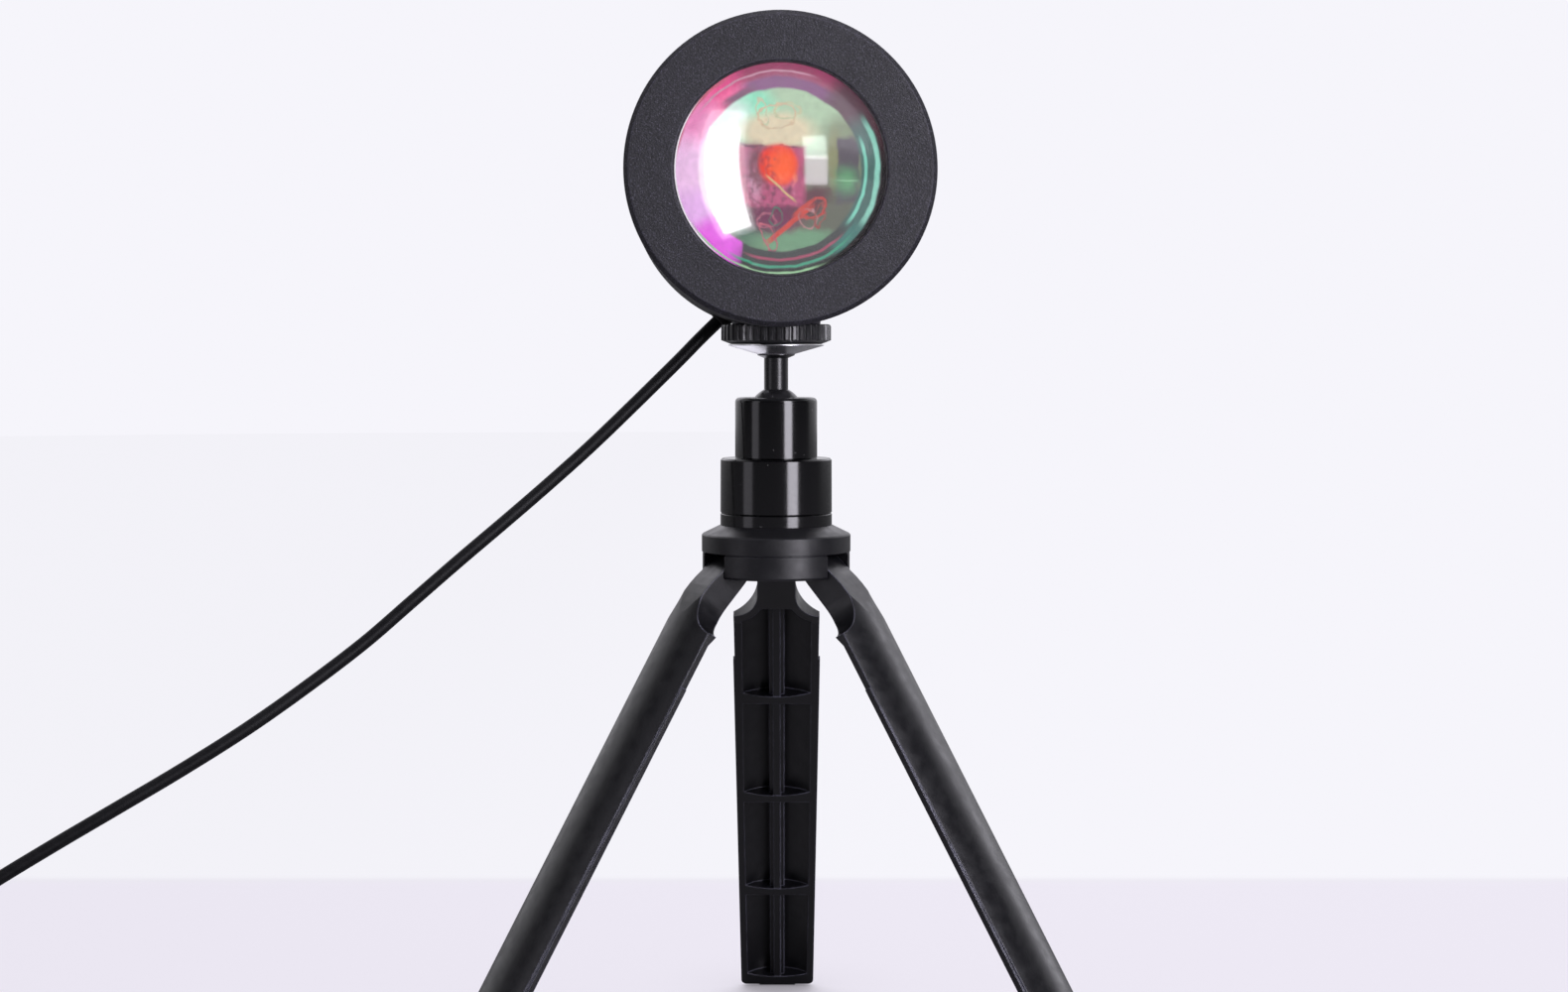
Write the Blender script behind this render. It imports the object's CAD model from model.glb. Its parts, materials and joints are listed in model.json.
"""The looks of the sunset projection lamp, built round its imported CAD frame.

Metres, +Z up, lens towards -Y.
"""

import json
import math

import bpy  # noqa: E402
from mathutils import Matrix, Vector  # noqa: E402


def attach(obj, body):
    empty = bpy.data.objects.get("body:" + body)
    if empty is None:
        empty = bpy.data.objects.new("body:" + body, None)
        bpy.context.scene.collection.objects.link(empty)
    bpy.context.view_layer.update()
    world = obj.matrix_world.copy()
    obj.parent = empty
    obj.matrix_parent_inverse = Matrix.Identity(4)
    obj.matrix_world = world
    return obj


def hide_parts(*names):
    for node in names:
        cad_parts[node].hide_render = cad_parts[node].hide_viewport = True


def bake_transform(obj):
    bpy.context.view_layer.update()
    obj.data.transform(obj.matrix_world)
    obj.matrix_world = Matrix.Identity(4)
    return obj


MM = 0.001
AXIS_Y = -16.3198  # the ball's axis, in mm
HEAD_Z = 186.0536
HEAD_TURN = math.radians(2.1)  # the lens looks this far towards +X
LENS_R = 20
FILTER_AT = (0.76, HEAD_Z - 0.1)  # what the middle of the glass shows of the filter, in mm
CORD_R = 1.35
FLARE_Z = 0.15075  # metres; the stem's flared plate starts here

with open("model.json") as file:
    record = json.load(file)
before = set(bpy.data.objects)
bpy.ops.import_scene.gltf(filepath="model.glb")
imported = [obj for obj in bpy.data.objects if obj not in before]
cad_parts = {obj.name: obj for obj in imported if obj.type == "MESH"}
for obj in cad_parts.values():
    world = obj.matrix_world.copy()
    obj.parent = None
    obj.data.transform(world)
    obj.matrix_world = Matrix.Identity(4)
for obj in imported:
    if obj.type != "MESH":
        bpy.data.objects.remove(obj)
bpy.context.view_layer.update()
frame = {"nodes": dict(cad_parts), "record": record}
nodes = frame["nodes"]


# ---------- camera ----------

def add_camera():
    """The photograph's view: 480 mm from the stem, looking 3.5 degrees down."""
    data = bpy.data.cameras.new("camera")
    data.sensor_width = 36
    data.lens = 54.2
    data.clip_start = 0.01
    camera = bpy.data.objects.new("camera", data)
    camera.location = (0.0016, AXIS_Y * MM - 0.480, 0.15115)
    camera.rotation_euler = (math.radians(90 - 3.49), 0, 0)
    bpy.context.collection.objects.link(camera)
    bpy.context.scene.camera = camera


# ---------- mesh helpers ----------

def on_axis(points):
    """Points in mm, measured from the ball's axis, as points of the row frame in metres."""
    return [Vector((x, y + AXIS_Y, z)) * MM for x, y, z in points]


def new_piece(name, verts, faces, material, body, smooth=35):
    """A mesh piece in the row frame, with edges sharper than smooth degrees kept sharp."""
    mesh = bpy.data.meshes.new(name)
    mesh.from_pydata([tuple(v) for v in verts], [], faces)
    mesh.validate()
    mesh.shade_smooth()
    mesh.set_sharp_from_angle(angle=math.radians(smooth))
    mesh.materials.append(material)
    piece = bpy.data.objects.new(name, mesh)
    bpy.context.collection.objects.link(piece)
    if body:
        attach(piece, body)
    return piece


def smooth_path(points, steps):
    """The smooth curve through points, with steps to each of its stretches."""
    p = [Vector(v) for v in points]
    path = []
    for i in range(len(p) - 1):
        a, b = p[i], p[i + 1]
        m = (b - p[i - 1]) / 2 if i > 0 else b - a
        n = (p[i + 2] - a) / 2 if i < len(p) - 2 else b - a
        for s in range(steps):
            u = s / steps
            path.append(
                (2 * u**3 - 3 * u**2 + 1) * a + (u**3 - 2 * u**2 + u) * m
                + (3 * u**2 - 2 * u**3) * b + (u**3 - u**2) * n
            )
    return path + [p[-1]]


def tube_mesh(path, radii, sides):
    """Vertices and faces of a closed tube along path, its frame carried along without twist."""
    verts, faces = [], []
    way = (path[1] - path[0]).normalized()
    side = way.cross(Vector((0, 0, 1)))
    side = (side if side.length > 0.01 else way.cross(Vector((1, 0, 0)))).normalized()
    for i, at in enumerate(path):
        way = (path[min(i + 1, len(path) - 1)] - path[max(i - 1, 0)]).normalized()
        side = (side - way * side.dot(way)).normalized()
        up = way.cross(side)
        for k in range(sides):
            turn = 2 * math.pi * k / sides
            verts.append(at + radii[i] * (math.cos(turn) * side + math.sin(turn) * up))
    for i in range(len(path) - 1):
        for k in range(sides):
            a, b = i * sides + k, i * sides + (k + 1) % sides
            faces.append((a, b, b + sides, a + sides))
    last = (len(path) - 1) * sides
    faces.append(tuple(range(sides - 1, -1, -1)))
    faces.append(tuple(range(last, last + sides)))
    return verts, faces


def tube(name, path, radius, material, body, sides=24):
    verts, faces = tube_mesh(path, [radius] * len(path), sides)
    return new_piece(name, verts, faces, material, body, smooth=60)


def lathe(name, profile, origin, way, material, body, sides=128, smooth=35):
    """A closed profile of (radius, height) in mm turned round the line through origin along way."""
    way = Vector(way).normalized()
    side = way.cross(Vector((0, 0, 1)) if abs(way.z) < 0.9 else Vector((1, 0, 0))).normalized()
    up = way.cross(side)
    verts, rows = [], []
    for r, h in profile:
        centre = origin + way * h * MM
        if r == 0:
            rows.append([len(verts)])
            verts.append(centre)
            continue
        rows.append(range(len(verts), len(verts) + sides))
        for k in range(sides):
            turn = 2 * math.pi * k / sides
            verts.append(centre + r * MM * (math.cos(turn) * side + math.sin(turn) * up))
    faces = []
    for a, b in zip(rows, [*rows[1:], rows[0]]):
        if len(a) == 1 and len(b) == 1:
            continue
        for k in range(sides):
            n = (k + 1) % sides
            ring = [a[k % len(a)], a[n % len(a)], b[n % len(b)], b[k % len(b)]]
            faces.append(tuple(dict.fromkeys(ring)))
    return new_piece(name, verts, faces, material, body, smooth)


# ---------- materials ----------

class Look:
    """A material round one Principled shader, with short calls for the nodes before it."""

    def __init__(self, name, colour=(0.5, 0.5, 0.5), rough=0.5, metal=0.0, **sockets):
        self.material = bpy.data.materials.new(name)
        self.material.use_nodes = True
        self.tree = self.material.node_tree
        self.shader = self.tree.nodes["Principled BSDF"]
        self.place = self.tree.nodes.new("ShaderNodeTexCoord").outputs["Object"]
        self.set("Base Color", colour)
        self.set("Roughness", rough)
        self.set("Metallic", metal)
        for socket, value in sockets.items():
            self.set(socket.replace("_", " "), value)

    def set(self, socket, value):
        target = self.shader.inputs[socket]
        if isinstance(value, bpy.types.NodeSocket):
            self.tree.links.new(value, target)
        elif hasattr(value, "__len__"):
            target.default_value = (*value, 1)
        else:
            target.default_value = value

    def node(self, kind, out=0, settings=(), **inputs):
        made = self.tree.nodes.new("ShaderNode" + kind)
        for key, value in dict(settings).items():
            setattr(made, key, value)
        for key, value in inputs.items():
            target = made.inputs[int(key[1:]) if key[1:].isdigit() else key.replace("_", " ")]
            if isinstance(value, bpy.types.NodeSocket):
                self.tree.links.new(value, target)
            elif hasattr(value, "__len__") and target.type == "RGBA":
                target.default_value = (*value, 1)
            else:
                target.default_value = value
        return made.outputs[out]

    def maths(self, what, a, b=0.0, c=0.0):
        return self.node("Math", settings={"operation": what}, i0=a, i1=b, i2=c)

    def noise(self, scale, detail=2.0, rough=0.5, place=None, stretch=None):
        place = self.place if place is None else place
        if stretch:
            place = self.node("Mapping", Vector=place, Scale=stretch)
        return self.node("TexNoise", Vector=place, Scale=scale, Detail=detail, Roughness=rough)

    def span(self, value, low, high, out_low=0.0, out_high=1.0, smooth=True):
        """value, taken from low..high to out_low..out_high and held there."""
        kind = {"interpolation_type": "SMOOTHSTEP" if smooth else "LINEAR"}
        return self.node("MapRange", settings=kind, i0=value, i1=low, i2=high, i3=out_low, i4=out_high)

    def blend(self, share, a, b):
        """Colour a where share is 0, colour b where it is 1."""
        made = self.tree.nodes.new("ShaderNodeMix")
        made.data_type = "RGBA"
        for target, value in ((made.inputs["Factor"], share), (made.inputs[6], a), (made.inputs[7], b)):
            if isinstance(value, bpy.types.NodeSocket):
                self.tree.links.new(value, target)
            else:
                target.default_value = (*value, 1) if hasattr(value, "__len__") else value
        return made.outputs[2]

    def zone(self, place, at, half, turn=0.0, kind="oval", soft=0.3):
        """1 in an oval or a box, or on an oval's rim, and 0 elsewhere. half holds half its sizes, and soft is
        a share of them. Any kind but box and rim is an oval."""
        scale = (half[0], half[1], 1)
        rot = (0, 0, math.radians(turn))
        way = {"vector_type": "TEXTURE"}
        unit = self.node("Mapping", settings=way, Vector=place, Location=(*at, 0), Rotation=rot, Scale=scale)
        if kind == "box":
            x = self.node("SeparateXYZ", 0, Vector=unit)
            y = self.node("SeparateXYZ", 1, Vector=unit)
            far = self.maths("MAXIMUM", self.maths("ABSOLUTE", x), self.maths("ABSOLUTE", y))
        else:
            far = self.node("VectorMath", "Value", {"operation": "LENGTH"}, i0=unit)
        if kind == "rim":
            return self.span(self.maths("ABSOLUTE", self.maths("SUBTRACT", far, 1.0)), soft / 2, soft, 1, 0)
        return self.span(far, 1 - soft, 1 + soft, 1, 0)

    def shaken(self, place, scale, rough, reach):
        """place, moved about at random by up to half of reach across and up."""
        noise = self.node("TexNoise", 1, Vector=self.place, Scale=scale, Detail=3.0, Roughness=rough)
        noise = self.node("VectorMath", settings={"operation": "SUBTRACT"}, i0=noise, i1=(0.5, 0.5, 0.5))
        noise = self.node("VectorMath", settings={"operation": "MULTIPLY"}, i0=noise, i1=(reach, reach, 0))
        return self.node("VectorMath", settings={"operation": "ADD"}, i0=place, i1=noise)

    def edges(self, wide):
        """The normal that turns gently round edges for wide mm, and a mask that is 1 along them."""
        turned = self.node("Bevel", settings={"samples": 4}, Radius=wide * MM)
        flat = self.node("NewGeometry", "Normal")
        same = self.node("VectorMath", "Value", {"operation": "DOT_PRODUCT"}, i0=turned, i1=flat)
        return turned, self.span(same, 0.82, 0.985, 1, 0)

    def bump(self, *layers, over=None):
        """Bump from pairs of height and its real depth in mm, on top of the normal in over."""
        normal = over
        for height, depth in layers:
            inputs = {"Height": height, "Distance": depth * MM, "Strength": 1.0}
            if normal is not None:
                inputs["Normal"] = normal
            normal = self.node("Bump", **inputs)
        self.set("Normal", normal)


def plastic(name, dark, light, rough, grain, depth, sparks=0.0, edge=0.25, worn=2.0, **sockets):
    """Moulded plastic: grain in mm across and deep, faint flow marks, sparks on a share of its grains, and
    edges that are rounded for edge mm and worn to the light colour times worn."""
    look = Look(name, rough=rough, **sockets)
    fine = look.noise(1 / (grain * MM), 2.0, 0.6)
    flow = look.span(look.noise(45, 3.0), 0.3, 0.7, 0, 0.3)
    share = look.maths("MULTIPLY_ADD", look.span(fine, 0.36, 0.64), 0.7, flow)
    colour = look.blend(share, dark, light)
    if sparks:
        cells = look.node("TexVoronoi", 1, Vector=look.place, Scale=1 / (grain * MM))
        lit = look.span(look.node("SeparateColor", 0, Color=cells), 1 - sparks, 1 - sparks / 2)
        middle = look.node("TexVoronoi", 0, Vector=look.place, Scale=1 / (grain * MM))
        near = look.span(middle, 0.2, 0.5, 1, 0)
        colour = look.blend(look.maths("MULTIPLY", lit, near), colour, tuple(2.8 * c for c in light))
    normal, rim = look.edges(edge) if edge else (None, None)
    if edge:
        rim = look.maths("MULTIPLY", rim, look.span(look.noise(250, 3.0), 0.3, 0.6, 0.4, 1))
        colour = look.blend(rim, colour, tuple(worn * c for c in light))
    look.set("Base Color", colour)
    look.set("Roughness", look.span(look.noise(400, 3.0), 0.3, 0.7, rough - 0.05, rough + 0.05))
    look.bump((fine, depth), over=normal)
    return look.material


def gloss_paint():
    """Glossy black coat on turned metal with polishing marks and dust. It is satin on the stem, and the
    stem's flared plate is bare."""
    look = Look("gloss_black")
    marks = look.noise(700, 3.0, 0.6, stretch=(1, 1, 6))
    dust = look.span(look.noise(900, 1.0, 0.4), 0.76, 0.80)
    height = look.node("SeparateXYZ", 2, Vector=look.place)
    stem = look.span(height, 0.1412, 0.1416)
    bare = look.span(height, FLARE_Z - 0.0001, FLARE_Z + 0.0001)
    coat = look.blend(stem, (0.003, 0.003, 0.0035), (0.010, 0.010, 0.011))
    coat = look.blend(dust, coat, (0.07, 0.07, 0.07))
    look.set("Base Color", look.blend(bare, coat, (0.74, 0.74, 0.77)))
    look.set("Metallic", bare)
    gloss = look.span(marks, 0.3, 0.7, 0.13, 0.17)
    look.set("Roughness", look.maths("MULTIPLY_ADD", stem, 0.14, gloss))
    look.bump((marks, 0.0002), over=look.edges(0.15)[0])
    return look.material


def knurl_paint():
    look = Look("ring_black", (0.014, 0.014, 0.015), 0.35)
    wear = look.span(look.noise(500, 4.0, 0.7), 0.5, 0.75)
    look.set("Base Color", look.blend(wear, (0.022, 0.022, 0.024), (0.060, 0.062, 0.064)))
    look.set("Roughness", look.span(wear, 0, 1, 0.28, 0.45))
    look.bump((look.noise(1500, 2.0), 0.01), over=look.edges(0.12)[0])
    return look.material


def metal(name, colour, rough, stretch, depth=0.002):
    """Bare metal with fine tool marks drawn out along one direction."""
    look = Look(name, colour, rough, 1.0)
    marks = look.noise(1800, 3.0, 0.7, stretch=stretch)
    darker = tuple(c * 0.72 for c in colour)
    look.set("Base Color", look.blend(look.span(marks, 0.3, 0.7), darker, colour))
    look.set("Roughness", look.span(marks, 0.3, 0.7, rough - 0.07, rough + 0.07))
    look.bump((marks, depth))
    return look.material


def woven(name):
    """Narrow woven strap: threads over and under each other, 0.45 mm apart, with fuzz."""
    look = Look(name, (0.02, 0.02, 0.02), 0.85, Sheen_Weight=0.3)
    across = look.node("TexWave", settings={"bands_direction": "X"}, out=1, Vector=look.place, Scale=350.0)
    up = look.node("TexWave", settings={"bands_direction": "Z"}, out=1, Vector=look.place, Scale=350.0)
    weave = look.maths("MULTIPLY", across, up)
    fuzz = look.noise(4000, 2.0)
    look.set("Base Color", look.blend(weave, (0.008, 0.008, 0.008), (0.045, 0.045, 0.047)))
    look.bump((weave, 0.12), (fuzz, 0.05))
    return look.material


def circuit(name, mask, trace):
    """A printed board: coloured mask with slightly raised lighter traces under it."""
    look = Look(name, mask, 0.35)
    lines = look.node("TexBrick", out=1, Vector=look.place, Scale=260.0, Mortar_Size=0.08)
    grain = look.noise(900, 2.0)
    share = look.maths("MULTIPLY", lines, look.span(grain, 0.3, 0.6))
    look.set("Base Color", look.blend(share, mask, trace))
    look.bump((lines, 0.04))
    return look.material


def phosphor():
    """The LED's round phosphor, faintly glowing, with the grid of dice under it."""
    look = Look("led_phosphor", (0.95, 0.25, 0.05), 0.6)
    grid = look.node("TexBrick", out=1, Vector=look.place, Scale=900.0, Mortar_Size=0.12)
    colour = look.blend(grid, (1.0, 0.13, 0.03), (0.8, 0.06, 0.02))
    look.set("Base Color", colour)
    look.set("Emission Color", colour)
    look.set("Emission Strength", 0.8)
    look.bump((look.noise(2500, 2.0), 0.02))
    return look.material


def glass():
    """The dome's glass, with a coat that reflects more than bare glass, and a few smears."""
    look = Look("lens_glass", (1.0, 0.98, 0.99), Transmission_Weight=1.0, IOR=1.5,
                Coat_Weight=1.0, Coat_IOR=1.8, Coat_Roughness=0.1)
    look.set("Roughness", look.span(look.noise(300, 3.0), 0.5, 0.8, 0.10, 0.14))
    return look.material


def srgb(r, g, b):
    """A colour given as 0 to 255 for a screen, as the linear one of the shaders."""
    return tuple((c / 255) ** 2.2 for c in (r, g, b))


# Colours of the filter in the ring round its clear middle: angle and half its width in degrees (from the
# right, upwards), softness in degrees, inner and outer radius, softness in mm, colour
RING_ARCS = [
    (90, 44, 14, 14, 22, 1, (164, 66, 106)),
    (82, 38, 12, 14, 17.8, 0.5, (128, 66, 124)),
    (40, 14, 10, 14, 22, 1, (86, 52, 66)),
    (133, 13, 12, 14, 22, 1, (255, 84, 156)),
    (158, 18, 12, 14, 22, 1, (252, 144, 204)),
    (186, 22, 12, 14, 22, 1, (255, 206, 252)),
    (209, 12, 10, 14, 22, 1, (246, 186, 255)),
    (229, 14, 7, 14, 22, 1, (246, 92, 246)),
    (145, 24, 8, 20.0, 22, 0.3, (214, 104, 132)),
    (-4, 34, 10, 14, 19.4, 0.4, (58, 106, 98)),
    (-2, 30, 8, 18.3, 19.3, 0.25, (150, 228, 206)),
    (-8, 28, 6, 16.2, 16.8, 0.15, (128, 224, 198)),
    (6, 30, 8, 19.6, 22, 0.3, (84, 52, 62)),
    (-45, 9, 6, 17.4, 19.6, 0.4, (48, 122, 112)),
    (-80, 30, 8, 17.0, 17.5, 0.2, (172, 70, 100)),
    (-82, 36, 8, 18.4, 18.9, 0.2, (62, 168, 132)),
    (-106, 40, 8, 19.7, 20.3, 0.2, (168, 220, 170)),
    (119, 8, 8, 14, 16.9, 0.4, (112, 48, 92)),
    (106, 34, 8, 18.7, 19.1, 0.2, (214, 160, 182)),
    (-24, 38, 14, 19.6, 24, 0.2, (8, 8, 10)),
    (186, 42, 10, 20.9, 24, 0.15, (250, 246, 255)),
]
MAGENTA_END = -7.4  # how far to the right the lower left part of the ring reaches

# Colours of its middle, as a film that glows: place and half sizes in mm, turn in degrees, kind, softness,
# colour, share that is clear
MIDDLE_ZONES = [
    ((5, 10.5), (12, 7), 0, "oval", 0.3, (176, 210, 172), 0),
    ((12, 6), (4, 4), 0, "oval", 0.5, (134, 152, 118), 0),
    ((-7, 11), (6, 5), 20, "oval", 0.4, (134, 236, 194), 0),
    ((-10.4, 9.2), (4.0, 4.8), -40, "oval", 0.5, (232, 255, 246), 0),
    ((-14.5, -1), (2.6, 11), 0, "oval", 0.3, (255, 228, 250), 0),
    ((-0.6, 7.4), (7, 3.4), 0, "oval", 0.35, (228, 216, 178), 0),
    ((1.4, 11.2), (2.4, 1.6), 0, "rim", 0.16, (198, 204, 160), 0),
    ((-3.4, 11.0), (1.0, 2.6), 12, "rim", 0.2, (196, 206, 166), 0),
    ((-0.6, 10.2), (3.6, 2.4), 4, "rim", 0.08, (212, 190, 150), 0),
    ((9, -8), (6, 6), 0, "oval", 0.4, (98, 104, 88), 0.1),
    ((-5.6, -10.6), (4, 4.5), 0, "oval", 0.4, (54, 98, 78), 0.1),
    ((3, -13.6), (9, 2.4), 0, "oval", 0.4, (112, 162, 124), 0),
    ((-0.8, -8.2), (5.2, 3.8), 0, "oval", 0.4, (112, 42, 82), 0.3),
    ((6, -6), (4, 2.4), 35, "oval", 0.5, (92, 62, 70), 0.3),
    ((-1.6, -1.2), (6.4, 5.8), 0, "box", 0.1, (184, 84, 124), 0.2),
    ((-5.2, -1.0), (1.2, 4.6), 8, "oval", 0.6, (216, 160, 188), 0.1),
    ((-4.2, 0.8), (2.0, 3.8), 0, "oval", 0.5, (128, 84, 100), 0.1),
    ((-1.6, -5.0), (6.8, 7.0), 0, "fuzz", 0.4, (88, 40, 68), 0.1),
    ((-2.6, -3.4), (5.4, 4.4), 0, "streaks", 0.5, (232, 150, 180), 0.1),
    ((-2.4, 4.55), (6.4, 0.14), 0, "box", 0.3, (112, 56, 84), 0),
    ((10.3, 2.5), (1.2, 5.4), 0, "oval", 0.4, (140, 148, 106), 0),
    ((13, 0), (2.1, 6.2), 0, "box", 0.12, (84, 78, 88), 0),
    ((12.6, -2), (2.0, 2.4), 0, "oval", 0.8, (100, 166, 118), 0),
    ((12.9, -1.9), (1.6, 0.10), 0, "box", 0.6, (160, 220, 172), 0),
    ((-0.4, 1.0), (3.7, 3.9), 0, "oval", 0.18, (238, 66, 46), 0.25),
    ((0.5, 0.8), (2.6, 3.0), 0, "oval", 0.5, (255, 104, 56), 0.25),
    ((-2.8, 0.6), (2.4, 4.2), 0, "fuzz", 0.5, (150, 62, 76), 0.2),
    ((1.4, -0.6), (2.4, 2.4), 0, "streaks", 0.5, (255, 140, 90), 0.2),
    ((0.2, -3.6), (3.4, 0.2), -42, "box", 0.3, (216, 190, 130), 0),
    ((1.9, -10.2), (5.4, 0.5), 39, "box", 0.3, (210, 62, 46), 0),
    ((6.6, -7.4), (2.6, 1.5), 30, "rim", 0.18, (190, 60, 52), 0),
    ((5.4, -9.2), (1.5, 1.9), 10, "rim", 0.12, (180, 130, 132), 0),
    ((7.6, -8.6), (0.9, 2.2), -15, "rim", 0.16, (150, 74, 66), 0),
    ((-2.6, -9.6), (1.7, 1.4), 0, "rim", 0.14, (166, 88, 112), 0),
    ((-0.9, -9.0), (1.2, 1.5), 0, "rim", 0.14, (60, 110, 92), 0),
    ((-2.0, -13.0), (1.0, 3.2), 24, "rim", 0.14, (190, 92, 112), 0),
    ((4.4, -7.2), (0.4, 2.4), -50, "oval", 0.4, (206, 66, 54), 0),
]


def filter_film():
    """The colour filter: interference colours that run round it and across its clear middle."""
    look = Look("filter_glass", (0.2, 0.2, 0.2), 0.25, IOR=1.02, Specular_IOR_Level=0.0)
    x = look.node("SeparateXYZ", 0, Vector=look.place)
    z = look.node("SeparateXYZ", 2, Vector=look.place)
    across = look.maths("MULTIPLY_ADD", x, 1 / MM, -FILTER_AT[0])
    up = look.maths("MULTIPLY_ADD", z, 1 / MM, -FILTER_AT[1])
    flat = look.node("CombineXYZ", X=across, Y=up, Z=0.0)
    wide = look.node("VectorMath", "Value", {"operation": "LENGTH"}, i0=flat)
    grow = look.maths("MULTIPLY_ADD", look.maths("MULTIPLY", wide, wide), -0.00023, 1.153)
    seen = look.node("VectorMath", settings={"operation": "SCALE"}, i0=flat, Scale=grow)
    seen = look.shaken(seen, 260.0, 0.5, 0.9)
    shaken = look.shaken(seen, 620.0, 0.6, 2.2)
    far = look.node("VectorMath", "Value", {"operation": "LENGTH"}, i0=seen)
    way = look.node("VectorMath", settings={"operation": "NORMALIZE"}, i0=seen)

    ring = (0.028, 0.040, 0.036)
    for angle, half, soft, low, high, edge, colour in RING_ARCS:
        a = math.radians(angle)
        towards = (math.cos(a), math.sin(a), 0)
        along = look.node("VectorMath", "Value", {"operation": "DOT_PRODUCT"}, i0=way, i1=towards)
        near, out = math.cos(math.radians(half + soft)), math.cos(math.radians(max(half - soft, 0)))
        share = look.maths("MULTIPLY", look.span(along, near, out), look.span(far, low - edge, low + edge))
        share = look.maths("MULTIPLY", share, look.span(far, high - edge, high + edge, 1, 0))
        if 180 < angle < 270:
            side = look.node("SeparateXYZ", 0, Vector=seen)
            share = look.maths("MULTIPLY", share, look.span(side, MAGENTA_END - 0.3, MAGENTA_END + 0.3, 1, 0))
        ring = look.blend(share, ring, srgb(*colour))
    middle, clear = srgb(116, 130, 106), 0.0
    fine = look.noise(1100, 4.0, 0.7)
    lines = look.noise(500, 4.0, 0.7, place=shaken, stretch=(0.001, 0.0004, 0.001))
    textures = {"fuzz": look.span(fine, 0.48, 0.6, 0, 0.7), "streaks": look.span(lines, 0.56, 0.64, 0, 0.6)}
    for at, half, turn, kind, soft, colour, part in MIDDLE_ZONES:
        rough = kind == "rim" or colour[0] < 130
        share = look.zone(shaken if rough else seen, at, half, turn, kind, soft)
        if kind in textures:
            share = look.maths("MULTIPLY", share, textures[kind])
        middle = look.blend(share, middle, srgb(*colour))
        clear = look.maths("ADD", look.maths("MULTIPLY", clear, look.maths("SUBTRACT", 1.0, share)),
                           look.maths("MULTIPLY", share, part))
    outside = look.span(far, 15.3, 15.9)
    colour = look.blend(outside, middle, ring)
    streaks = look.span(look.noise(700, 4.0, 0.65), 0.3, 0.7, 0.9, 1.06)
    clear = look.maths("MULTIPLY", clear, look.maths("SUBTRACT", 1.0, outside))
    look.set("Base Color", look.blend(clear, (0.05, 0.05, 0.05), colour))
    look.set("Transmission Weight", clear)
    look.set("Emission Color", colour)
    look.set("Emission Strength", look.maths("MULTIPLY", streaks, look.maths("SUBTRACT", 1.0, clear)))
    return look.material


MATERIALS = {
    "head_black": plastic("head_black", (0.003, 0.003, 0.005), (0.019, 0.018, 0.025), 0.55, 0.36, 0.08,
                          sparks=0.5, edge=0.4, worn=6),
    "hub_black": plastic("hub_black", (0.004, 0.004, 0.005), (0.008, 0.008, 0.010), 0.40, 0.25, 0.010,
                         worn=4),
    "leg_black": plastic("leg_black", (0.003, 0.003, 0.004), (0.006, 0.006, 0.008), 0.36, 0.25, 0.008,
                         edge=0.45, worn=24),
    "cord_black": plastic("cord_black", (0.003, 0.003, 0.004), (0.006, 0.006, 0.007), 0.45, 0.9, 0.001,
                          edge=0, Specular_IOR_Level=0.25),
    "black_rubber": plastic("black_rubber", (0.006, 0.006, 0.006), (0.013, 0.013, 0.013), 0.75, 0.3, 0.05),
    "inner_black": plastic("inner_black", (0.010, 0.010, 0.011), (0.020, 0.020, 0.022), 0.60, 0.4, 0.03),
    "seat_plastic": plastic("seat_plastic", (0.60, 0.60, 0.56), (0.72, 0.72, 0.68), 0.50, 0.4, 0.02),
    "lead_red": plastic("lead_red", (0.55, 0.02, 0.015), (0.70, 0.04, 0.03), 0.45, 0.3, 0.01),
    "gloss_black": gloss_paint(),
    "ring_black": knurl_paint(),
    "bare_aluminium": metal("bare_aluminium", (0.72, 0.73, 0.75), 0.32, (1, 8, 1)),
    "zinc_steel": metal("zinc_steel", (0.55, 0.55, 0.57), 0.34, (1, 1, 5)),
    "plug_steel": metal("plug_steel", (0.62, 0.61, 0.60), 0.26, (0.2, 4, 4)),
    "brass": metal("brass", (0.72, 0.52, 0.24), 0.28, (1, 1, 7)),
    "tie_black": woven("tie_black"),
    "white_board": circuit("white_board", (0.80, 0.80, 0.77), (0.70, 0.66, 0.52)),
    "green_board": circuit("green_board", (0.03, 0.17, 0.06), (0.07, 0.30, 0.12)),
    "led_phosphor": phosphor(),
    "lens_glass": glass(),
    "filter_glass": filter_film(),
}


def dress_nodes():
    """Gives every CAD node the material of its slot in the record."""
    for row in frame["record"]["subparts"]:
        if row["node"] in nodes:
            mesh = nodes[row["node"]].data
            mesh.materials.clear()
            mesh.materials.append(MATERIALS[row["material_slot"]])


# ---------- lens ----------

LENS_AT = Vector((0, AXIS_Y, HEAD_Z)) * MM  # where the head's axis crosses the ball's
LENS_WAY = Vector((-math.sin(HEAD_TURN), math.cos(HEAD_TURN), 0))  # into the head
DOME_R = 30
DOME_EDGE = -27
FLANGE = (21.8, -24.7, -22.7)


def add_lens():
    """The glass dome on its flange, turned from a fine profile so that it bends light smoothly."""
    steps = 48
    rise = DOME_R - math.sqrt(DOME_R**2 - LENS_R**2)
    profile = []
    for i in range(steps + 1):
        r = LENS_R * i / steps
        profile.append((r, DOME_EDGE - rise + DOME_R - math.sqrt(DOME_R**2 - r * r)))
    wide, front, back = FLANGE
    profile += [(LENS_R, front), (wide, front), (wide, back), (0, back)]
    dome = lathe("lens_dome", profile, LENS_AT, LENS_WAY, MATERIALS["lens_glass"], "lamp_head", sides=192)
    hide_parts("lens")
    dome.visible_shadow = False
    nodes["colour_filter"].visible_shadow = False
    return dome


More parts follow.
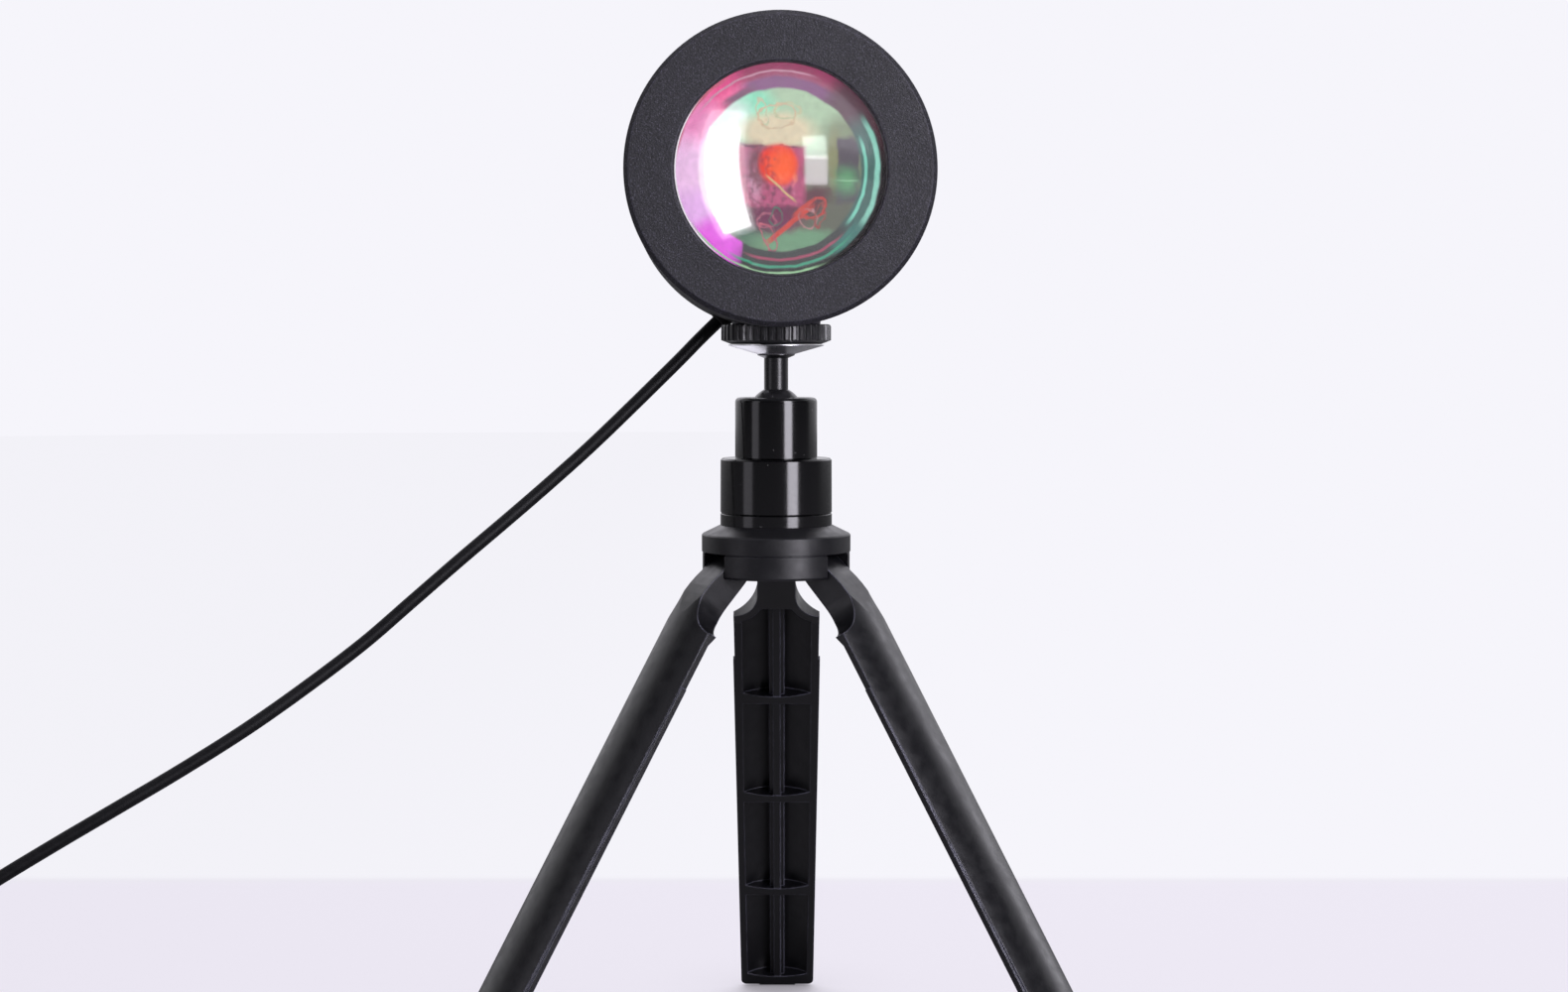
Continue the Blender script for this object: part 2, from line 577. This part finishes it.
def in_head(points):
    """Points in mm across, up and into the head from its axis, as points of the row frame in metres."""
    side = Vector((math.cos(HEAD_TURN), math.sin(HEAD_TURN), 0))
    return [LENS_AT + (side * x + Vector((0, 0, z)) + LENS_WAY * y) * MM for x, z, y in points]


def add_inner_wires():
    """The loose wires before the LED board that show through the glass."""
    wires = {
        "wire_red": (0.42, [
            (5.6, -4.2, -14), (5.0, -4.6, -17), (3.4, -6.0, -19), (1.0, -8.2, -19.6), (-1.8, -10.4, -19),
        ]),
        "wire_curl": (0.2, [
            (4.6, -3.6, -15), (6.2, -4.4, -18), (5.6, -6.6, -19), (3.8, -6.2, -18.4), (4.4, -4.6, -17),
            (6.4, -3.2, -15),
        ]),
        "wire_loop": (0.22, [
            (-3.6, -6, -15), (-3.9, -8.5, -18.5), (-2.8, -10.6, -19.3), (-1.6, -11.6, -19.6),
            (-1.0, -12.6, -19),
        ]),
    }
    for name, (radius, points) in wires.items():
        path = in_head(smooth_path(points, 8))
        piece = tube(name, path, radius * MM, MATERIALS["lead_red"], "lamp_head", sides=10)


# ---------- cord ----------

CORD_EXIT = Vector((-11.988, 7.466, 157.511))
HANG = [
    (0, 0, 0), (-3.8, -0.6, -3.7), (-9.7, -1.4, -9.7), (-24, -3.9, -23.7), (-33.3, -5.9, -32.2),
    (-42.7, -8.4, -40.4), (-52.2, -10.9, -48.5), (-61.8, -13.4, -56.9), (-71, -15.9, -64.9),
    (-82.3, -19.4, -73.5), (-93.3, -22.9, -81.2), (-105.3, -26.4, -88.7), (-117.3, -29.9, -95.7),
    (-128.3, -32.4, -102.1), (-139.3, -34.9, -108.7), (-150.3, -36.9, -115.7), (-161.3, -38.9, -123.1),
    (-172.3, -40.9, -131.8), (-191.3, -46.4, -145.4),
]
FLOOR = [
    (-211, -42.5, 7.2), (-218, -48.5, 3.5), (-222, -56, 1.8), (-221.5, -63.5, 1.4), (-216.5, -70, 2),
    (-210.5, -73.2, 3.2), (-205, -74, 4.3), (-201.5, -74, 4.3), (-198, -74, 4.3),
]
LINK = [(-160, -74, 4.3), (-155, -74, 4.3), (-147, -74, 3.3), (-140, -74, 1.95), (-135.4, -74, 1.95)]
TAIL = [
    (-124.6, -74, 11.55), (-121, -74, 11.55), (-113, -74, 10), (-103, -74, 6.9), (-94, -74, 4.8),
    (-87, -74, 4), (-80, -74, 4),
]
COIL_AT = (-130, -54.2)
COIL_R = 19.8
TURNS_PER_LAYER = 2.625
LAYERS = 4
TURN_PITCH = 3.5
LAYER_PITCH = 3.2
COIL_Z = 1.95
COIL_RINGS = 48
TOP_POINTS = 4  # of the hang, that the head carries
PATH_STEPS = 6


def coil_point(t):
    """The coil's path after t turns: in, a half turn up to the next layer, and out."""
    block = TURNS_PER_LAYER + 0.5
    k = min(math.floor(t / block), LAYERS - 1)
    into = t - k * block
    run = min(into, TURNS_PER_LAYER) / TURNS_PER_LAYER
    climb = max(0, into - TURNS_PER_LAYER) / 0.5
    inward = run if k % 2 == 0 else 1 - run
    r = COIL_R - inward * TURNS_PER_LAYER * TURN_PITCH
    a = math.radians(-90 + 360 * t)
    x, y = COIL_AT
    return (x + r * math.cos(a), y + r * math.sin(a), COIL_Z + (k + climb) * LAYER_PITCH)


def cord_piece(name, path, nodes_replaced, body, **facts):
    """A declared cord: a round tube along path, with its length measured along it."""
    piece = tube(name, path, CORD_R * MM, MATERIALS["cord_black"], body)
    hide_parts(*nodes_replaced)
    return piece


def add_cords(to_switch, to_plug):
    """The cord in three declared stretches: carried by the head, down to the switch, and on to the plug.
    to_switch and to_plug are the small pieces made here that sit on the last two."""
    hang = [CORD_EXIT + Vector(step) for step in HANG]
    lead = on_axis(smooth_path(hang + [Vector(p) for p in FLOOR], PATH_STEPS))
    split = (TOP_POINTS - 1) * PATH_STEPS
    top = cord_piece("cord_by_head", lead[: split + 1], ["cord_top"], None, far_end="object", lay="hanging")
    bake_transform(top)
    low = cord_piece(
        "cord_to_switch", lead[split:], ["cord_lead"], None, far_end="fitting", lay="loose",
        with_pieces=to_switch + [nodes["switch_" + n] for n in ("base", "cover", "board", "button")],
    )
    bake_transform(low)
    coil_turns = LAYERS * TURNS_PER_LAYER + (LAYERS - 1) / 2
    coil = [coil_point(i / COIL_RINGS) for i in range(round(coil_turns * COIL_RINGS) + 1)]
    onward = smooth_path(LINK, PATH_STEPS)[:-1] + coil + smooth_path(TAIL, PATH_STEPS)[1:]
    cord_piece(
        "cord_to_plug", on_axis(onward), ["cord_link", "cord_coil", "cord_tail"], "tripod_hub",
        far_end="plug", lay="coiled",
        with_pieces=to_plug + [nodes["plug_" + n] for n in ("grip", "shell", "tongue")],
    )


# ---------- small parts ----------

SWITCH_AT = (-198, -74, 4.3)
SWITCH_LEN = 38
PLUG_AT = (-80, -74, 4)
TONGUE = (41.4, -0.15)  # where it ends from the plug's cord, and its top
STRAP_W = 4
STRAP_T = 0.5
STRAP_TURN = math.radians(60)
STRAP_SLIP = 0.3  # between the strap and the coil
# The strap's section, as shares of its width and thickness
STRAP_SECTION = [
    (-0.5, -0.3), (-0.47, -0.5), (0.47, -0.5), (0.5, -0.3),
    (0.5, 0.3), (0.47, 0.5), (-0.47, 0.5), (-0.5, 0.3),
]
CONTACT_LIFT = 0.09
SLEEVE_BORE = 1.36
SLEEVE_RIBS = 4


def add_strap():
    """The woven strap round the coil: a rounded band with its free end laid over its start."""
    inside = COIL_R - TURNS_PER_LAYER * TURN_PITCH - CORD_R - 2 * STRAP_SLIP - STRAP_T / 2
    outside = COIL_R + CORD_R + STRAP_SLIP + STRAP_T / 2
    high = COIL_Z + (LAYERS - 1) * LAYER_PITCH + CORD_R + STRAP_SLIP + STRAP_T / 2
    low, corner = STRAP_T / 2, 1.5
    loop = []
    for cx, cz, start in (
        (outside - corner, high - corner, 0), (inside + corner, high - corner, 90),
        (inside + corner, low + corner, 180), (outside - corner, low + corner, 270),
    ):
        for k in range(7):
            a = math.radians(start + 15 * k)
            loop.append((cx + corner * math.cos(a), cz + corner * math.sin(a)))
    mid = (inside + outside) / 2
    lap = [
        (outside - corner + 0.4, high + STRAP_T * 0.9), (mid, high + STRAP_T),
        (mid - 2.4, high + STRAP_T * 0.9),
    ]
    sides = len(STRAP_SECTION)
    made = []
    for name, run, closed in (("coil_strap", loop, True), ("coil_strap_end", lap, False)):
        verts, faces = [], []
        count = len(run)
        for i, (r, z) in enumerate(run):
            r0, z0 = run[i - 1 if closed else max(i - 1, 0)]
            r1, z1 = run[(i + 1) % count if closed else min(i + 1, count - 1)]
            out = Vector((z1 - z0, r0 - r1)).normalized()
            for w, t in STRAP_SECTION:
                rr, zz = r + out.x * t * STRAP_T, z + out.y * t * STRAP_T
                ww = w * STRAP_W
                verts.append((
                    COIL_AT[0] + rr * math.cos(STRAP_TURN) - ww * math.sin(STRAP_TURN),
                    COIL_AT[1] + rr * math.sin(STRAP_TURN) + ww * math.cos(STRAP_TURN), max(zz, 0),
                ))
        for i in range(count if closed else count - 1):
            here, onward = i * sides, (i + 1) % count * sides
            for k in range(sides):
                n = (k + 1) % sides
                faces.append((here + k, here + n, onward + n, onward + k))
        if not closed:
            last = (count - 1) * sides
            faces += [tuple(range(sides - 1, -1, -1)), tuple(range(last, last + sides))]
        strap = new_piece(name, on_axis(verts), faces, MATERIALS["tie_black"], "tripod_hub", smooth=50)
        if closed:
            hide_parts("coil_tie")
        made.append(strap)
    return made


def add_plug_contacts():
    """Four plated contacts on the plug's tongue, the outer two longer."""
    end, top = TONGUE
    made = []
    for i, across in enumerate((-3.5, -1.0, 1.0, 3.5)):
        back = end - (8.6 if i in (0, 3) else 7.6)
        profile = [(back, 0), (back + 0.4, CONTACT_LIFT), (end - 1.1, CONTACT_LIFT), (end - 0.7, 0)]
        verts = []
        for x, lift in profile:
            for y in (-0.5, -0.4, 0.4, 0.5):
                rise = lift if abs(y) < 0.45 else 0
                verts.append((PLUG_AT[0] + x, PLUG_AT[1] + across + y, PLUG_AT[2] + top + rise))
        faces = [(r * 4 + c, r * 4 + 4 + c, r * 4 + 5 + c, r * 4 + 1 + c) for r in range(3) for c in range(3)]
        name = f"plug_contact_{i + 1}"
        contact = new_piece(name, on_axis(verts), faces, MATERIALS["brass"], "tripod_hub", smooth=20)
        made.append(contact)
    return made


def add_cord_sleeves():
    """Short ribbed sleeves where the cord enters the switch."""
    x, y, z = SWITCH_AT
    made = []
    for name, at, way in (("sleeve_in", x, -1), ("sleeve_out", x + SWITCH_LEN, 1)):
        profile = [(SLEEVE_BORE, -0.3), (2.3, -0.3)]
        for k in range(SLEEVE_RIBS):
            r, h = 2.25 - 0.12 * k, 0.5 + 0.9 * k
            profile += [(r, h), (r, h + 0.45), (r - 0.3, h + 0.55), (r - 0.3, h + 0.8)]
        profile += [(1.5, 4.4), (SLEEVE_BORE, 4.4)]
        origin = on_axis([(at, y, z)])[0]
        sleeve = lathe(name, profile, origin, (way, 0, 0), MATERIALS["black_rubber"], "tripod_hub", sides=32)
        made.append(sleeve)
    return made


# ---------- studio ----------

WALL = (0.921, 0.913, 0.965)
LAMP_WHITE = (0.98, 0.95, 1.05)
FLOOR_R = 4.0  # metres
FLOOR_END = 0.173  # how far back the floor's colour turns into the wall's, in metres
BESIDE = 0.24  # how far to the side that edge begins to soften


def add_stage():
    """A pale floor that turns into the wall's white behind the lamp, darker where something stands on it."""
    look = Look("floor", (0.80, 0.79, 0.82), 0.7)
    turns = [a * math.pi / 32 for a in range(64)]
    verts = [(FLOOR_R * math.cos(a), FLOOR_R * math.sin(a), -0.0001) for a in turns]
    floor = new_piece("floor", verts, [tuple(range(64))], look.material, None)
    x = look.node("SeparateXYZ", 0, Vector=look.place)
    y = look.node("SeparateXYZ", 1, Vector=look.place)
    aside = look.maths("ABSOLUTE", x)
    soft = look.span(aside, BESIDE, 0.7, 0.007, 0.45)
    far = look.span(look.maths("DIVIDE", look.maths("SUBTRACT", y, FLOOR_END), soft), -1, 1)
    shown = look.blend(far, (0.665, 0.636, 0.705), WALL)
    fold = look.span(look.maths("ABSOLUTE", look.maths("SUBTRACT", y, FLOOR_END - 0.0005)), 0, 0.006, 0.05, 0)
    fold = look.maths("SUBTRACT", 1.0, look.maths("MULTIPLY", fold, look.span(aside, BESIDE, 0.4, 1, 0)))
    left = look.span(x, -0.2, 0.1, 0.97, 1)
    look.set("Base Color", look.blend(far, (0.22, 0.218, 0.232), (0.0, 0.0, 0.0)))
    look.set("Specular IOR Level", look.span(far, 0, 1, 0.3, 0.0))
    path = look.tree.nodes.new("ShaderNodeLightPath").outputs
    look.set("Emission Color", shown)
    seen = look.maths("MAXIMUM", path["Is Camera Ray"], path["Is Transmission Ray"])
    strength = look.maths("MULTIPLY_ADD", path["Is Glossy Ray"], 0.2, seen)
    near = look.node("AmbientOcclusion", "AO", {"samples": 8}, Distance=0.03)
    near = look.span(near, 0, 1, 0.3, 1, smooth=False)
    shade = look.maths("MULTIPLY", near, look.maths("MULTIPLY", fold, left))
    look.set("Emission Strength", look.maths("MULTIPLY", strength, shade))


def add_world():
    """A white wall behind the lamp and a dim room in front of it. The camera sees the wall all round."""
    world = bpy.data.worlds.new("studio")
    bpy.context.scene.world = world
    world.use_nodes = True
    tree = world.node_tree
    background = tree.nodes["Background"]
    direction = tree.nodes.new("ShaderNodeTexCoord").outputs["Generated"]
    split = tree.nodes.new("ShaderNodeSeparateXYZ")
    ramp = tree.nodes.new("ShaderNodeMapRange")
    ramp.interpolation_type = "SMOOTHSTEP"
    for key, value in ((1, 0.10), (2, 0.42), (3, 0.05), (4, 0.85)):
        ramp.inputs[key].default_value = value
    path = tree.nodes.new("ShaderNodeLightPath").outputs["Is Camera Ray"]
    share = tree.nodes.new("ShaderNodeMath")
    share.operation = "MAXIMUM"
    tree.links.new(direction, split.inputs[0])
    tree.links.new(split.outputs["Y"], ramp.inputs[0])
    tree.links.new(ramp.outputs[0], share.inputs[0])
    tree.links.new(path, share.inputs[1])
    tree.links.new(share.outputs[0], background.inputs["Strength"])
    background.inputs["Color"].default_value = (*WALL, 1)


def softbox(name, azimuth, elevation, size, radiance, distance=1.1, target=(0, AXIS_Y, 150),
            colour=LAMP_WHITE):
    """A rectangular light that shines on target, azimuth degrees to the right of the camera's side of it."""
    data = bpy.data.lights.new(name, "AREA")
    data.shape = "RECTANGLE"
    data.size, data.size_y = size
    data.energy = radiance * math.pi * size[0] * size[1]
    data.color = colour
    light = bpy.data.objects.new(name, data)
    a, e = math.radians(azimuth), math.radians(elevation)
    way = Vector((math.sin(a) * math.cos(e), -math.cos(a) * math.cos(e), math.sin(e)))
    light.location = Vector(target) * MM + way * distance
    light.rotation_euler = way.to_track_quat("Z", "Y").to_euler()
    light.visible_camera = False
    bpy.context.collection.objects.link(light)
    return light


def receive_only(light, lit):
    """The light shines on the pieces in lit alone."""
    group = bpy.data.collections.new(light.name + "_only")
    for piece in lit:
        group.objects.link(piece)
    light.light_linking.receiver_collection = group


def add_lights(dome):
    """Strips at both sides that leave the floor alone, a top and a back light, two small ones for the
    right leg's edge and the stem's plate, and the windows that only the glass reflects."""
    pieces = [o for o in bpy.data.objects if o.type == "MESH"]
    others = [o for o in pieces if o is not dome]
    lamp = [o for o in others if o.name != "floor"]
    for name, azimuth, elevation, size, radiance, lit in (
        ("strip_right", 34.5, 4, (0.42, 1.2), 11.5, lamp),
        ("strip_left", -60, 4, (0.40, 1.2), 1.1, lamp),
        ("top", 0, 75, (1.2, 0.9), 1.4, others),
        ("back", 180, 35, (1.4, 0.8), 0.8, pieces),
        ("rim_right", 126, 2, (0.3, 1.2), 2.2, [nodes["leg_right"]]),
    ):
        receive_only(softbox(name, azimuth, elevation, size, radiance), lit)
    card = softbox("plate_card", -153, -34, (0.10, 0.16), 1.1, 0.14, (0, AXIS_Y, 151))
    receive_only(card, [nodes["ball_stem"]])
    at = (0, AXIS_Y - 27, HEAD_Z)
    for name, azimuth, elevation, size, radiance, distance, roll, colour in (
        ("glass_left", -42, -5.5, (0.085, 0.26), 7.5, 0.17, 4, (1.0, 0.98, 1.0)),
        ("glass_left_soft", -43, -1, (0.125, 0.37), 1.7, 0.18, 4, (1.0, 0.98, 1.0)),
        ("glass_pane_up", 30, 19, (0.34, 0.28), 3.8, 1.1, 0, (0.88, 1.0, 0.94)),
        ("glass_pane_line", 30, 11, (0.34, 0.03), 6.2, 1.08, 0, (1.0, 1.0, 1.0)),
        ("glass_pane_low", 30, 1, (0.34, 0.38), 3.6, 1.1, 0, (1.0, 0.87, 1.0)),
    ):
        window = softbox(name, azimuth, elevation, size, radiance, distance, at, colour)
        window.rotation_euler.rotate_axis("Z", math.radians(roll))
        window.visible_transmission = False
        receive_only(window, [dome])


def main():
    add_camera()
    sleeve_in, sleeve_out = add_cord_sleeves()
    add_cords([sleeve_in], [sleeve_out, *add_strap(), *add_plug_contacts()])
    dress_nodes()
    dome = add_lens()
    add_inner_wires()
    add_stage()
    add_world()
    add_lights(dome)
    bpy.context.scene.view_settings.view_transform = "Standard"


main()
